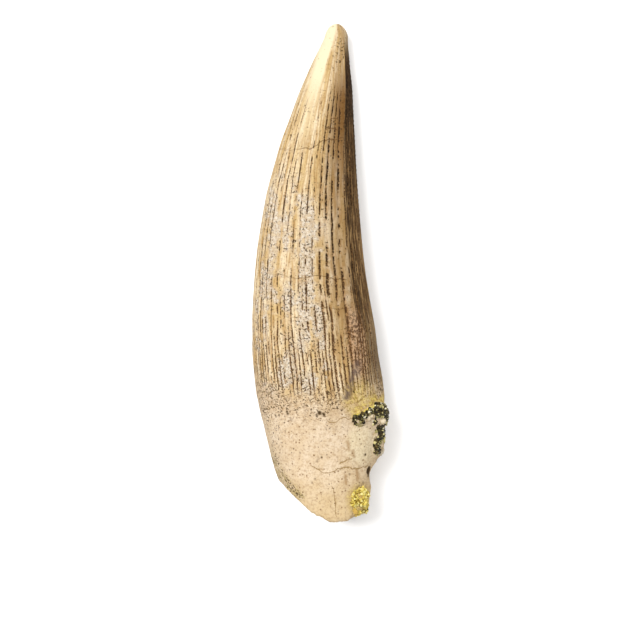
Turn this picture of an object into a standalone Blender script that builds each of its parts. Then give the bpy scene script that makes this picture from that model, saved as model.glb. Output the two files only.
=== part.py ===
"""A fossil tooth of a fish-eating theropod, shaped like a long curved claw, lying on its belly.

The crown is a curved cone with a keel along its inner side. It runs without a step into a broken stump of root.
Two patches of mineral crust sit in hollows of the root's edge: an upper one beside the end of the enamel, and a
lower one by the break.

The tip points along +Y, the outer face looks up, and the origin is below the middle of the whole outline, on the
surface that the tooth lies on. Lengths in the constants are millimetres.
"""

import math

import bmesh
import bpy
from mathutils import Matrix, Vector, noise

MM = 0.001

# The outline and height of the unbroken tooth, from the root to the tip. Each section gives its distance from the
# root's end, the left and right edges, and the heights of its belly and of its back.
SECTIONS = (
    (-4.0, -3.0, 8.6, 0.8, 14.4),
    (4.0, -6.7, 9.3, 0.1, 16.2),
    (12.0, -9.6, 10.7, -0.3, 17.6),
    (20.0, -11.4, 12.3, -0.4, 18.6),
    (28.0, -12.7, 11.4, -0.4, 19.0),
    (36.0, -13.1, 10.3, -0.4, 18.7),
    (44.0, -12.8, 8.9, -0.4, 17.7),
    (53.0, -11.9, 7.7, -0.4, 16.0),
    (62.0, -10.4, 7.0, -0.3, 14.0),
    (71.0, -8.0, 6.4, -0.1, 11.8),
    (80.0, -4.9, 6.0, 0.4, 9.6),
    (87.5, -1.7, 5.5, 1.1, 7.6),
    (93.0, 0.9, 5.0, 1.9, 5.9),
)
TIP_DOME = 2.0  # how far the rounded tip stands beyond the last section

RING_STEP = 2.0  # spacing of the rings along the tooth
RING_POINTS = 36
DOME_RINGS = 4
BODY_FULLNESS = 2.15  # 2 is an ellipse, more is squarer
WAIST = 0.47  # height of a section's widest point, as a share of its thickness

KEEL_TURN = math.radians(50)  # where the keel runs, from the right edge towards the back
KEEL_HEIGHT = 0.06  # how far the keel stands out, as a share of the section
KEEL_SPREAD = math.radians(36)
KEEL_START, KEEL_FULL = 26.0, 36.0  # the keel grows out of the root between these
ROOT_SWELL = 0.025  # slow unevenness of the root's surface

# The root is snapped off in a few flat faces: a point on each and the way it faces.
BREAKS = (
    ((-4.8, 4.7, 5.0), (-0.66, -0.75, -0.04)),
    ((0.4, 1.0, 5.0), (-0.43, -0.90, -0.05)),
    ((3.8, 0.1, 5.0), (0.0, -1.0, -0.02)),
    ((7.9, 1.3, 5.0), (0.60, -0.80, 0.06)),
)

# Lumps are rounded pebbles: centre, half-lengths, and the turn about Y that lays them along the surface.
EDGE_CHIP = (
    ((11.9, 8.4, 8.6), (2.9, 3.1, 9.5), 0),
)
UPPER_CRUST = (
    ((10.9, 20.3, 12.4), (2.0, 2.6, 3.1), -20),
    ((8.2, 19.9, 15.3), (3.0, 1.9, 1.5), 38),
    ((10.6, 15.6, 11.4), (1.5, 3.8, 2.8), -12),
)
LOWER_CRUST = (
    ((7.2, 4.6, 12.9), (2.2, 2.5, 1.4), 42),
    ((6.2, 2.3, 12.9), (1.5, 1.5, 1.3), 30),
)
LUMP_ROUGHNESS = 0.10
CRUST_GAP = 0.3  # air between a crust and its hollow


def smooth_value(places, values, place):
    """The value at a place on the smooth curve through the given values (cubic Hermite with mean slopes)."""
    count = len(places)
    span = max(i for i in range(count - 1) if places[i] <= place or i == 0)
    slopes = []
    for i in (span, span + 1):
        low, high = max(i - 1, 0), min(i + 1, count - 1)
        slopes.append((values[high] - values[low]) / (places[high] - places[low]))
    width = places[span + 1] - places[span]
    t = (place - places[span]) / width
    start = (1 + 2 * t) * (1 - t) ** 2 * values[span] + t * (1 - t) ** 2 * width * slopes[0]
    end = t * t * (3 - 2 * t) * values[span + 1] + t * t * (t - 1) * width * slopes[1]
    return start + end


def section_at(along):
    """(left, right, belly, back) of the tooth at a distance from the root's end."""
    places = [row[0] for row in SECTIONS]
    return [smooth_value(places, [row[k] for row in SECTIONS], along) for k in range(1, 5)]


def signed_power(value, power):
    return math.copysign(abs(value) ** power, value)


def section_ring(along, share=1.0, shift=0.0):
    """The points of one section, turned from the right edge over the back. A share under 1 shrinks it."""
    left, right, belly, back = section_at(along)
    half_width = (right - left) / 2
    thickness = back - belly
    middle = Vector(((left + right) / 2, along + shift, belly + WAIST * thickness))
    grown = min(max((along - KEEL_START) / (KEEL_FULL - KEEL_START), 0), 1)
    ring = []
    for i in range(RING_POINTS):
        turn = 2 * math.pi * i / RING_POINTS
        rise = (1 - WAIST if math.sin(turn) > 0 else WAIST) * thickness
        across = signed_power(math.cos(turn), 2 / BODY_FULLNESS) * half_width
        up = signed_power(math.sin(turn), 2 / BODY_FULLNESS) * rise
        from_keel = abs((turn - KEEL_TURN + math.pi) % (2 * math.pi) - math.pi)
        stretch = 1 + grown * KEEL_HEIGHT * max(1 - from_keel / KEEL_SPREAD, 0) ** 2
        swell = noise.noise(Vector((math.cos(turn), math.sin(turn), along / 9)))
        stretch += (1 - grown) * ROOT_SWELL * swell
        ring.append((middle + Vector((across, 0, up)) * share * stretch) * MM)
    return ring


def slice_off(bm, point, outward):
    """Cuts away what lies beyond a plane and closes the cut with a flat face."""
    cut = bmesh.ops.bisect_plane(
        bm,
        geom=bm.verts[:] + bm.edges[:] + bm.faces[:],
        plane_co=Vector(point) * MM,
        plane_no=Vector(outward).normalized(),
        clear_outer=True,
    )
    edges = [item for item in cut["geom_cut"] if isinstance(item, bmesh.types.BMEdge)]
    bmesh.ops.holes_fill(bm, edges=edges, sides=0)


def new_object(name, bm, collection):
    mesh = bpy.data.meshes.new(name)
    bmesh.ops.recalc_face_normals(bm, faces=bm.faces)
    bm.to_mesh(mesh)
    bm.free()
    obj = bpy.data.objects.new(name, mesh)
    collection.objects.link(obj)
    return obj


def make_tooth(collection):
    """Crown and root: rings of unlike sections skinned from the root to the tip, then broken and flattened."""
    first, last = SECTIONS[0][0], SECTIONS[-1][0]
    steps = round((last - first) / RING_STEP)
    rings = [section_ring(first + (last - first) * i / steps) for i in range(steps + 1)]
    for i in range(1, DOME_RINGS):
        turn = math.pi / 2 * i / DOME_RINGS
        rings.append(section_ring(last, math.cos(turn), TIP_DOME * math.sin(turn)))
    left, right, belly, back = section_at(last)
    tip = Vector(((left + right) / 2, last + TIP_DOME, belly + WAIST * (back - belly))) * MM

    bm = bmesh.new()
    loops = [[bm.verts.new(point) for point in ring] for ring in rings]
    for low, high in zip(loops, loops[1:]):
        for i in range(RING_POINTS):
            j = (i + 1) % RING_POINTS
            bm.faces.new((low[i], low[j], high[j], high[i]))
    bm.faces.new(loops[0])
    pole = bm.verts.new(tip)
    for i in range(RING_POINTS):
        bm.faces.new((loops[-1][i], loops[-1][(i + 1) % RING_POINTS], pole))

    for point, outward in BREAKS:
        slice_off(bm, point, outward)
    slice_off(bm, (0, 0, 0), (0, 0, -1))
    return new_object("tooth", bm, collection)


def make_lump(name, lump, grow, collection):
    """One rough pebble. The same pebble grown all round is the hollow that it sits in."""
    centre, halves, tilt = lump
    turned = Matrix.Rotation(math.radians(tilt), 3, "Y")
    bm = bmesh.new()
    bmesh.ops.create_icosphere(bm, subdivisions=3, radius=1.0)
    for vert in bm.verts:
        way = vert.co.normalized()
        rough = 1 + LUMP_ROUGHNESS * noise.noise(way * 1.7 + Vector(centre))
        local = Vector(way[k] * (halves[k] * rough + grow) for k in range(3))
        vert.co = (Vector(centre) + turned @ local) * MM
    return new_object(name, bm, collection)


def combine(obj, others, operation):
    """Adds or cuts the helpers, which the finished model doesn't show."""
    for other in others:
        other.hide_render = True
        other.display_type = "WIRE"
        step = obj.modifiers.new(other.name, "BOOLEAN")
        step.operation = operation
        step.object = other


def make_crust(name, lumps, collection, helpers):
    body = make_lump(name, lumps[0], 0, collection)
    more = [make_lump(f"{name}_lump_{i}", lump, 0, helpers) for i, lump in enumerate(lumps[1:])]
    combine(body, more, "UNION")
    return body


def make_hollows(name, lumps, grow, helpers):
    return [make_lump(f"{name}_hollow_{i}", lump, grow, helpers) for i, lump in enumerate(lumps)]


def finish_surface(obj, colour, roughness):
    material = bpy.data.materials.new(obj.name)
    material.use_nodes = True
    shader = material.node_tree.nodes["Principled BSDF"]
    shader.inputs["Base Color"].default_value = (*colour, 1)
    shader.inputs["Roughness"].default_value = roughness
    shader.inputs["Metallic"].default_value = 0
    obj.data.materials.append(material)


def centre_on_outline(objects, shown):
    """Moves everything so that the origin is below the middle of the shown outline."""
    bpy.context.view_layer.update()
    graph = bpy.context.evaluated_depsgraph_get()
    corners = [Vector(corner) for obj in shown for corner in obj.evaluated_get(graph).bound_box]
    low = Vector(min(corner[k] for corner in corners) for k in range(3))
    high = Vector(max(corner[k] for corner in corners) for k in range(3))
    shift = Vector((-(low.x + high.x) / 2, -(low.y + high.y) / 2, -low.z))
    for obj in objects:
        obj.data.transform(Matrix.Translation(shift))


def main():
    for obj in list(bpy.data.objects):
        bpy.data.objects.remove(obj)
    parts = bpy.data.collections.new("fossil_tooth")
    helpers = bpy.data.collections.new("cutters")
    bpy.context.scene.collection.children.link(parts)
    bpy.context.scene.collection.children.link(helpers)

    tooth = make_tooth(parts)
    upper = make_crust("upper_crust", UPPER_CRUST, parts, helpers)
    lower = make_crust("lower_crust", LOWER_CRUST, parts, helpers)
    cutters = make_hollows("edge_chip", EDGE_CHIP, 0, helpers)
    cutters += make_hollows("upper_crust", UPPER_CRUST, CRUST_GAP, helpers)
    cutters += make_hollows("lower_crust", LOWER_CRUST, CRUST_GAP, helpers)
    combine(tooth, cutters, "DIFFERENCE")

    finish_surface(tooth, (0.62, 0.50, 0.33), 0.5)
    finish_surface(upper, (0.16, 0.13, 0.07), 0.85)
    finish_surface(lower, (0.66, 0.52, 0.14), 0.9)
    centre_on_outline(list(parts.objects) + list(helpers.objects), [tooth, upper, lower])
    for obj in parts.objects:
        obj.data.shade_smooth()
        obj.data.set_sharp_from_angle(angle=math.radians(35))


main()
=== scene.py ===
# %% [markdown]
# # A fossil tooth, seen from above
#
# The real thing is the tooth of a fish-eating dinosaur, curved like a claw. It has a fluted enamel crown,
# a keel along one side, a smooth stump of broken root, and two patches of mineral crust. The solid model
# already holds its size and its outline. This notebook gives it the surface that a collector would look
# at with a lens.

import itertools
import math

import bpy
import numpy as np
from mathutils import Matrix, Vector
from mathutils.bvhtree import BVHTree


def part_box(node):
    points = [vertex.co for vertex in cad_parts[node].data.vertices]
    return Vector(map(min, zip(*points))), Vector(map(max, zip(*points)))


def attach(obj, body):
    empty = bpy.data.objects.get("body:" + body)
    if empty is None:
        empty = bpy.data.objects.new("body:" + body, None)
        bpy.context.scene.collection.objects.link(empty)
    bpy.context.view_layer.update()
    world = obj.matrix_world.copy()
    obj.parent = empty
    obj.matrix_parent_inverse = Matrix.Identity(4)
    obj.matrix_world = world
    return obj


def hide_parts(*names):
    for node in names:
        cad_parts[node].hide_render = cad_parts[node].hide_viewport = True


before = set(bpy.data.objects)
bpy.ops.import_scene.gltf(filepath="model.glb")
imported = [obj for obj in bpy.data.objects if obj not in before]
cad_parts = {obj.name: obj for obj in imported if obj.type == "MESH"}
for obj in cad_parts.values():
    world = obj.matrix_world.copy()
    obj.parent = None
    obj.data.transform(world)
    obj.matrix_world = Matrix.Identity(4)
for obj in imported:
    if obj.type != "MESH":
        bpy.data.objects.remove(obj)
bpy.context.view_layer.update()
low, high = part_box("tooth")
MM = 0.001
root_end = low.y
print("the tooth is", [round((b - a) / MM, 1) for a, b in zip(low, high)], "mm")

# %% [markdown]
# ## Measuring the inside of the tooth
#
# The fine skin will be laid on the solid from within, the way a sea urchin's spines point out of its
# shell: rays leave a line through the middle of the tooth and stop where they meet its wall. So the first
# thing needed is that middle line. It could be drawn by hand, but feeling for the walls with rays keeps
# it true to the solid.

# %% Find the middle line
CRUSTS = ("upper_crust", "lower_crust")


def walls_of(names):
    """The walls of some solids, ready to be felt with rays."""
    corners, sides = [], []
    for name in names:
        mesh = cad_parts[name].data
        sides += [[index + len(corners) for index in p.vertices] for p in mesh.polygons]
        corners += [v.co.copy() for v in mesh.vertices]
    return BVHTree.FromPolygons(corners, sides)


wall = walls_of(("tooth",))
whole_wall = walls_of(("tooth", *CRUSTS))
WAIST = 0.47  # a section is widest a little below the middle of its thickness
FAR = 0.1  # rays start this far out, well clear of the tooth


def feel(start, way):
    """The first wall met from a start point, going one way."""
    return wall.ray_cast(Vector(start), Vector(way))[0]


def section_size(y, x):
    """(middle x, waist z, half width, height above the waist, depth below it) at y. x is a first guess."""
    for _ in range(3):
        belly, back = feel((x, y, -FAR), (0, 0, 1)).z, feel((x, y, FAR), (0, 0, -1)).z
        z = belly + WAIST * (back - belly)
        left, right = feel((-FAR, y, z), (1, 0, 0)).x, feel((FAR, y, z), (-1, 0, 0)).x
        x = (left + right) / 2
    return x, z, (right - left) / 2, back - z, z - belly


ROOT_HEART = root_end + 10 * MM  # the rays of the broken end fan out from here
TIP_HEART = high.y - 2.1 * MM  # and those of the rounded tip from here
gauge_y = np.linspace(ROOT_HEART, TIP_HEART, 60)
gauge = [section_size(gauge_y[0], 0.0)]
for y in gauge_y[1:]:
    gauge.append(section_size(y, gauge[-1][0]))
gauge = np.array(gauge)
middle_line = [np.polynomial.Polynomial.fit(gauge_y, gauge[:, k], 7) for k in range(5)]
print("half width at the middle of the crown:", round(middle_line[2](0.0) / MM, 2), "mm")

# %% [markdown]
# ## A noise to draw with
#
# Nature's marks are never even, so most of what follows is steered by noise. Blender's own noise is
# called point by point, which is slow for a hundred thousand points. This one works on whole grids:
# random values at the corners of small cubes, and smooth blends between them. Its seeds are fixed, so the
# tooth is the same every time.


# %% Define the noise
def soft_noise(points, grain, seed):
    """Smooth values between -1 and 1 at points, with lumps about one grain across."""
    at = np.asarray(points) / grain
    cell = np.floor(at).astype(int)
    ease = at - cell
    ease = ease * ease * (3 - 2 * ease)
    table = np.random.default_rng(seed).uniform(-1, 1, (32, 32, 32))
    total = 0
    for corner in itertools.product((0, 1), repeat=3):
        share = np.prod(np.where(corner, ease, 1 - ease), axis=-1)
        i, j, k = np.moveaxis((cell + corner) % 32, -1, 0)
        total = total + share * table[i, j, k]
    return total


def rough_noise(points, grain, seed):
    """Three sizes of soft noise together."""
    sizes = ((1, 0.55), (0.45, 0.3), (0.2, 0.15))
    return sum(soft_noise(points, grain * size, seed + i) * share for i, (size, share) in enumerate(sizes))


def rise(value, start, full):
    """0 below start, 1 above full, and an eased slope between."""
    share = np.clip((value - start) / (full - start), 0, 1)
    return share * share * (3 - 2 * share)


# %% [markdown]
# ## The skin
#
# A UV sphere is the right start for a closed organic form: it is all rows and columns, and it closes
# itself at two poles. Here the poles become the tip and the heart of the break. Sculpting by hand or a
# voxel remesh would make a skin too, but only rows and columns can run exactly along the flutes of the
# enamel, so that each flute is a clean line of edges. The counts keep the piece just under 200,000
# triangles.

# %% Add the sphere and read its rows and columns
COLUMNS, ROWS = 384, 256
for other in bpy.context.selected_objects:
    other.select_set(False)
bpy.ops.mesh.primitive_uv_sphere_add(
    segments=COLUMNS, ring_count=ROWS, radius=1, rotation=(-math.pi / 2, 0, 0)
)
tooth = bpy.context.object
tooth.name = "tooth_surface"
bpy.ops.object.transform_apply(location=True, rotation=True, scale=True)
sphere = np.empty(len(tooth.data.vertices) * 3, np.float32)
tooth.data.vertices.foreach_get("co", sphere)
sphere = sphere.reshape(-1, 3)
row_of = np.rint(np.arccos(np.clip(sphere[:, 1], -1, 1)) / math.pi * ROWS).astype(int)
column_of = np.rint(np.arctan2(sphere[:, 2], sphere[:, 0]) / (2 * math.pi) * COLUMNS).astype(int) % COLUMNS
print(len(sphere), "points in", ROWS - 1, "rows of", COLUMNS)

# %% [markdown]
# ## Rows and columns on the tooth
#
# Every column is a fixed turn round the section, counted from the right edge over the back. Eight columns
# make one flute, and the keel is a column too. Most rows are cuts straight across. The last ones fan out
# like the segments of an orange peel, to cover the rounded tip and the broken end.

# %% Give every row a place and every column a turn
FLUTE_COLUMNS = 8
NOISE_RADIUS = 11  # noise that follows the skin is read on a tube this wide, in millimetres
KEEL_COLUMN = 7 * FLUTE_COLUMNS
KEEL_TURN = math.radians(50)
TIP_ROWS, ROOT_ROWS = 8, 46
COLUMN_TURN = 2 * math.pi / COLUMNS
turns = KEEL_TURN + (np.arange(COLUMNS) - KEEL_COLUMN) * COLUMN_TURN
keel_gap = (turns - KEEL_TURN + math.pi) % (2 * math.pi) - math.pi
rows = np.arange(1, ROWS)
body_share = (rows - TIP_ROWS) / (ROWS - TIP_ROWS - ROOT_ROWS)
row_y = TIP_HEART + np.clip(body_share, 0, 1) * (ROOT_HEART - TIP_HEART)
tip_fan = np.clip(1 - rows / TIP_ROWS, 0, 1) * math.pi / 2
root_fan = np.clip((rows - ROWS + ROOT_ROWS) / ROOT_ROWS, 0, 1) * math.pi / 2


def wander():
    """How far each column strays sideways, in turns, so that no flute is ruler straight."""
    ring = np.stack([np.cos(turns) * NOISE_RADIUS, np.sin(turns) * NOISE_RADIUS], axis=-1)
    at = np.zeros((len(rows), COLUMNS, 3))
    at[..., :2] = ring
    at[..., 2] = rows[:, None] * 0.37 / 2.5  # a row is 0.37 mm, and the wander is drawn out 2.5 times
    free = 1 - 0.85 * np.exp(-((keel_gap / 0.2) ** 2))  # the keel hardly strays
    return (soft_noise(at, 2.6, 61) * 1.3 + soft_noise(at, 0.8, 62) * 0.65) * free * COLUMN_TURN


OUTSIDE = 30 * MM  # farther from the middle line than any wall


def cast_skin(ray_turns):
    """Where each ray starts, its direction, and how far it goes to the outermost wall."""
    starts = np.zeros((len(rows), COLUMNS, 3))
    ways = np.zeros((len(rows), COLUMNS, 3))
    reach = np.zeros((len(rows), COLUMNS))
    for k, y in enumerate(row_y):
        x, z, half, above, below = (curve(y) for curve in middle_line)
        turn = ray_turns[k]
        across = np.cos(turn) * half
        up = np.sin(turn) * np.where(np.sin(turn) > 0, above, below)
        size = np.hypot(across, up)
        fan = tip_fan[k] + root_fan[k]
        starts[k] = (x, y, z)
        ways[k, :, 0] = across / size * math.cos(fan)
        ways[k, :, 2] = up / size * math.cos(fan)
        ways[k, :, 1] = math.sin(tip_fan[k]) - math.sin(root_fan[k])
        for j in range(COLUMNS):
            outside = Vector(starts[k, j] + ways[k, j] * OUTSIDE)
            reach[k, j] = OUTSIDE - whole_wall.ray_cast(outside, Vector(-ways[k, j]))[3]
    return starts, ways, reach


starts, ways, reach = cast_skin(turns + wander())
print("rays reach", round(reach.min() / MM, 2), "to", round(reach.max() / MM, 2), "mm")

# %% [markdown]
# ## Smoothing away the facets
#
# The solid is made of flat facets about two millimetres across. Real enamel is smooth, so the reach of
# the rays is averaged with its neighbours many times over. The broken end keeps more of its corners, so
# it is averaged less.


# %% Average the reach
def averaged(grid, along_passes, round_passes):
    """The grid blurred along the tooth and round it. Each pass is a 1-2-1 mean."""
    for _ in range(along_passes):
        padded = np.vstack([grid[:1], grid, grid[-1:]])
        grid = (padded[:-2] + 2 * padded[1:-1] + padded[2:]) / 4
    for _ in range(round_passes):
        grid = (np.roll(grid, 1, 1) + 2 * grid + np.roll(grid, -1, 1)) / 4
    return grid


near_break = np.clip((ROOT_HEART + 5 * MM - row_y) / (3 * MM), 0, 1)[:, None]
reach = near_break * averaged(reach, 1, 3) + (1 - near_break) * averaged(reach, 12, 40)

# %% [markdown]
# ## Places on the tooth
#
# From here on, every grid holds one number per point of the skin. Places are given as a maker would
# measure them with a ruler on the lying tooth: millimetres across from the middle of the outline, and
# millimetres along from the broken end. `shown` is 1 on the upper face and fades out under the edges.

# %% Make the ruler grids
points = starts + ways * reach[..., None]
across = points[..., 0] / MM
along = (points[..., 1] - root_end) / MM
shown = rise(np.sin(turns), -0.25, 0.1)[None, :] * np.ones_like(across)
tube_x, tube_z = np.cos(turns) * NOISE_RADIUS, np.sin(turns) * NOISE_RADIUS
skin = np.stack([tube_x + 0 * along, tube_z + 0 * along, along / 6], axis=-1)
place = points / MM


def oval(x, y, half_x, half_y, lean=0.0):
    """1 at a place on the shown face, falling to 0 at an oval round it. A lean tilts it to the right."""
    dx = across - x - lean * (along - y)
    return np.clip(1 - (dx / half_x) ** 2 - ((along - y) / half_y) ** 2, 0, 1) * shown


def along_path(path, width):
    """1 on a path drawn through places, falling to 0 at a width from it."""
    nearest = np.full_like(across, np.inf)
    for (x0, y0), (x1, y1) in zip(path, path[1:]):
        share = ((across - x0) * (x1 - x0) + (along - y0) * (y1 - y0)) / ((x1 - x0) ** 2 + (y1 - y0) ** 2)
        share = np.clip(share, 0, 1)
        gap = np.hypot(across - x0 - share * (x1 - x0), along - y0 - share * (y1 - y0))
        nearest = np.minimum(nearest, gap)
    return rise(width - nearest, 0, width) * shown


# %% [markdown]
# ## Crown and root
#
# Enamel covers the crown and ends in a ragged line, with bare root below it. The line is a little lower
# in the middle of the shown face than at its edges.

# %% Draw the end of the enamel
ENAMEL_END = 21.4
ragged = 1.6 * rough_noise(place, 3.0, 11)
enamel_end = ENAMEL_END + 0.012 * (across - 2) ** 2 + ragged
enamel = rise(along, enamel_end - 0.5, enamel_end + 0.9)
crown = rise(along, enamel_end - 0.8, enamel_end + 4.5)
print("enamel covers", round(float(enamel.mean()) * 100), "% of the points")

# %% [markdown]
# ## Worn patches
#
# In some places the polished enamel has gone and a chalky, speckled layer shows. The patches are long,
# because wear follows the flutes. On the hidden side they are left to the noise.

# %% Draw the worn patches
WORN_PATCHES = (
    (-7.4, 65.9, 0.9, 4.0), (-8.9, 60.5, 1.3, 5.0), (-8.9, 53.5, 1.6, 6.5), (-10.3, 46.0, 1.9, 5.5),
    (-6.6, 55.0, 0.9, 6.0), (-2.6, 54.5, 2.2, 8.5), (-2.8, 45.5, 2.6, 7.5), (-6.2, 42.5, 1.5, 5.0),
    (-10.4, 37.6, 1.0, 3.2), (-3.4, 37.0, 2.4, 7.0), (-6.4, 29.8, 2.6, 5.0), (-10.0, 24.6, 2.6, 2.8),
    (-0.6, 38.0, 1.3, 4.5), (-2.2, 27.0, 2.5, 4.5),
)
wear_reach = sum(oval(*patch) for patch in WORN_PATCHES)
hidden_wear = rise(rough_noise(skin, 4.0, 21), 0.05, 0.6) * (1 - shown)
past_keel = rise(-keel_gap, -0.03, 0.05) * rise(keel_gap, -2.1, -1.4)
wear_edge = 0.7 * rough_noise(place * (1, 0.55, 1), 2.4, 23) + 0.35 * soft_noise(place, 0.8, 24)
light_wear = 0.42 * rise(5 - across, 0, 4) * rise(along, 24, 30) * rise(70 - along, 0, 10) * shown
wear = np.maximum(np.clip(wear_reach, 0, 1) * 1.1, light_wear) + hidden_wear + wear_edge
worn = rise(wear, 0.2, 0.9) * enamel * (1 - past_keel) * rise(78 - along, 0, 8)
print("worn share of the crown:", round(float(worn.sum() / enamel.sum()), 2))

# %% [markdown]
# ## Flutes and the dark lines in them
#
# Flutes are fine grooves that run to the tip. Mineral has settled in them as broken black and brown
# lines. Halfway down the crown a second, thinner groove opens between each pair. A line's strength is set
# by its number, counted from the keel over the back; a wandering noise along it cuts it into dashes.

# %% Draw the lines
STRONG_LINES = {1: 1.0, 2: 0.75, 3: 1.0, 4: 0.75, 5: 0.6, 6: 0.8, 7: 0.4, 8: 0.7, 9: 0.4, 10: 0.8, 11: 0.5,
                12: 0.7, 13: 0.7, 14: 0.6, 15: 0.6, -1: 0.9, -2: 0.8, -3: 0.9, -4: 0.7, -5: 0.6, -6: 0.6}
BOLD_TOP = 87  # the boldest lines, beside the keel, start this far along
line_random = np.random.default_rng(5)
groove = np.zeros_like(across)
stain = np.zeros_like(across)
FLUTES = COLUMNS // FLUTE_COLUMNS
for i in range(FLUTES * 2):
    second = i % 2 == 1
    column = (KEEL_COLUMN + i * FLUTE_COLUMNS // 2) % COLUMNS
    number = (i // 2 + FLUTES // 2) % FLUTES - FLUTES // 2
    strength = STRONG_LINES.get(number, line_random.uniform(0.35, 0.65))
    if second:
        strength *= 0.6 if 0 <= number < 8 else 0.85
    top = line_random.uniform(38, 52) if second else line_random.uniform(74, 87)
    boldest = 0 < number < 5 and not second
    if boldest:
        top = BOLD_TOP
    mid_along = along[:, column]
    run = np.stack([mid_along, 0 * mid_along + i * 7.3, 0 * mid_along], axis=-1)
    dash = soft_noise(run, 5.5, 31) * 0.45 + soft_noise(run, 1.7, 32) * 0.5
    dash = dash + soft_noise(run, 0.7, 33) * 0.25
    low_crown = rise(45 - mid_along, 0, 18)
    start = 0.08 - 0.45 * strength - 0.22 * low_crown
    drawn = rise(dash, start, start + 0.28) * rise(top - mid_along, 0, 9)
    drawn *= np.maximum(0.5 + 0.5 * strength, low_crown)
    swelling = 0.85 if boldest else 0.50
    cut_depth = 0.6 if second else 1
    width = 0.82 + swelling * strength * (1 - 0.6 * low_crown)
    for step in range(-3, 4):
        share = np.exp(-((step / width) ** 2) * 1.6)
        spot = (column + step) % COLUMNS
        stain[:, spot] = np.maximum(stain[:, spot], drawn * share)
        cut_here = rise(top - mid_along, -4, 6) * share * cut_depth
        groove[:, spot] = np.maximum(groove[:, spot], cut_here)
stain *= rise(along, enamel_end - 1.5, enamel_end + 5.5) * (1 - 0.1 * worn)

# %% [markdown]
# ## Stains, the dark flank and its painted shade
#
# Beyond the keel, the flank is dark brown: partly a stain, and partly painted shade of the side turned from
# the light, with painted shadow in streaks just beside the keel. The dark washes out towards the root, and
# on the right side below the keel's end a plain brown is painted shade. Next to the crusts the enamel and
# root have turned yellow, and the low end of the keel is red brown.

# %% Draw the stains and the painted shade
flank_side = rise(-keel_gap, -0.01, 0.035) * rise(keel_gap, -1.9, -0.9)
keel_end = rise(along + 3.0 * rough_noise(place, 3.5, 41), 28, 43)
# Dark flank beyond the keel: partly stain, partly painted shade of the side turned from the light.
flank = flank_side[None, :] * keel_end * rise(94.5 - along + 2.0 * rough_noise(skin, 2.0, 48), 0, 7)
# Painted shade on the right side of the tooth below the keel's end, the side turned from the light.
low_flank_shade = rise(np.cos(turns), 0.48, 0.86)[None, :] * rise(along, 22, 32) * (1 - keel_end)
# Painted shadow: dark streaks on the flank just beside the keel.
beside_keel = rise(-keel_gap, 0.0, 0.06) * rise(keel_gap, -0.46, -0.12)
keel_shadow = rise(along + 1.5 * rough_noise(place, 2.5, 42), 31, 37) * rise(74 - along, 0, 12)
keel_shadow *= beside_keel[None, :]
yellow = 0.65 * oval(7.0, 23.4, 3.8, 4.2) + 0.35 * rough_noise(place, 1.0, 43) * oval(7.0, 23.4, 3.8, 4.6)
CRUST_EDGE = ((6.6, 21.0), (8.2, 22.0), (9.8, 23.1), (11.6, 23.2))
powder = along_path(CRUST_EDGE, 2.1) * rise(rough_noise(place, 0.9, 47), -0.45, 0.05)
yellow = np.clip(np.maximum(yellow, powder), 0, 1)
yellow = np.maximum(yellow, oval(7.4, 4.4, 3.0, 3.4))
russet = np.clip(oval(6.6, 34.0, 2.2, 8.0, -0.12) * 1.6 + 0.4 * rough_noise(place, 1.0, 44), 0, 1)
russet *= rise(oval(6.6, 34.0, 2.6, 9.0, -0.12), 0, 0.3)
sooty = along_path(((6.9, 30.0), (5.6, 26.6), (4.6, 23.2)), 1.25)
sooty = sooty * rise(rough_noise(place, 0.7, 45), -0.3, 0.1)
# Painted highlight: pale cream on the left of the polished tip stands for light glancing off it. The same
# mark also makes that face glossy.
highlight_left = np.interp(along, (72, 80, 85, 90, 94, 96), (-5.6, -3.8, -2.4, -1.2, 0.0, 0.6))
highlight_right = np.interp(along, (72, 80.5, 85, 87.2, 89.4, 91.9, 93.3, 95.5),
                         (-1.6, 0.1, 0.75, 1.1, 1.75, 2.45, 2.85, 3.3))
crisp = np.interp(along, (78, 86), (1.8, 0.35))
polish_and_highlight = rise(across, highlight_left - 0.2, highlight_left + 1.3) * rise(highlight_right - across, -0.1, crisp)
polish_and_highlight *= (0.45 * rise(along, 66, 78) + 0.55 * rise(along, 78, 86)) * shown
# Painted shade: the crown turns browner towards the keel, partly its own brown and partly shade where it
# slopes away from the light.
keel_shade = (rise(0.8 - keel_gap, 0, 0.75) * rise(keel_gap, -0.04, 0.0))[None, :]
bold_side = np.maximum(rise(0.75 - keel_gap, 0, 0.3) * rise(keel_gap, -0.9, -0.5), 0.7)
bold = bold_side[None, :] * rise(along, 36, 52) * np.ones_like(across)
keel_shade = keel_shade * rise(along, 26, 40) * (0.55 + 0.45 * rise(along, 55, 78)) * (1 - polish_and_highlight)
keel_shade *= 1 - 0.6 * rise(along, 80, 89)
tan_root = np.clip(rise(along, 13, 0) + 0.35 * rise(across, 2, 9) * rise(20 - along, 0, 6), 0, 1)
smudge = sum(along_path(path, 0.55) for path in (((5.0, 15.4), (5.3, 13.8)), ((6.0, 13.6), (6.2, 12.6)),
                                                 ((6.7, 9.9), (6.9, 8.3)), ((4.6, 9.0), (4.7, 7.6))))
pale_root = np.clip(1.6 * oval(7.6, 14.8, 3.2, 4.6), 0, 1)
rough_spot = along_path(((-9.8, 12.5), (-8.2, 9.3), (-5.6, 6.5), (-4.0, 5.0)), 1.7)
tip_spot = oval(3.6, 89.5, 0.9, 3.2)

# %% [markdown]
# ## Pits
#
# Bare root is pricked with small dark holes, most of all on its left half and just under the enamel. Each
# hole is a little cone taken out of the surface. A few are big enough to see at arm's length.

# %% Prick the pits
pit_random = np.random.default_rng(77)
pits = np.zeros_like(across)


def prick(x, y, radius, depth):
    """A cone into the shown face, at a place given across and along."""
    top = feel((x * MM, root_end + y * MM, FAR), (0, 0, -1))
    if top is None:
        return 0 * across
    gap = np.linalg.norm(place - np.array(top) / MM, axis=-1)
    return np.clip(1 - gap / radius, 0, 1) * depth


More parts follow.
